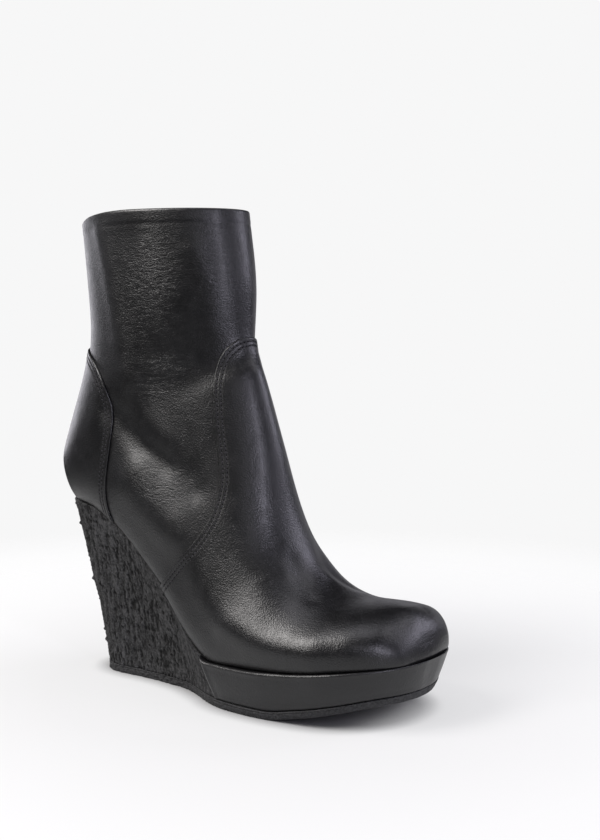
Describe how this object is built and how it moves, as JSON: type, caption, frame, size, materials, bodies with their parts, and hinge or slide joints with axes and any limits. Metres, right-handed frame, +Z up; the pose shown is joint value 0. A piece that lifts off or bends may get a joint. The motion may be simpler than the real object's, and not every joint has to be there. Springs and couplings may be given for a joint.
{
  "type": "wedge ankle boot",
  "caption": "Right wedge ankle boot: hollow leather upper with vamp and heel counter over a high rough wedge, covered platform and thin outsole.",
  "frame": {"origin": "on the floor, under the middle of the whole boot's bounding box", "axes": "+X towards the toe, +Y towards the inner side of the foot (the left, as this is the right boot), +Z up"},
  "size_m": [0.235, 0.0894, 0.25],
  "materials": {
    "upper_leather": "smooth full-grain, satin, fine natural grain",
    "vamp_leather": "smooth full-grain, satin with a soft sheen",
    "counter_leather": "smooth full-grain, satin",
    "insole": "matt lining leather",
    "wedge": "rough, torn crepe with pits and vertical streaks",
    "platform_cover": "smooth cover leather, satin",
    "outsole": "matt rubber"
  },
  "bodies": {
    "root": {"upper": "upper_leather", "vamp": "vamp_leather", "counter": "counter_leather", "insole": "insole", "wedge": "wedge", "platform": "platform_cover", "outsole": "outsole"}
  },
  "joints": []
}
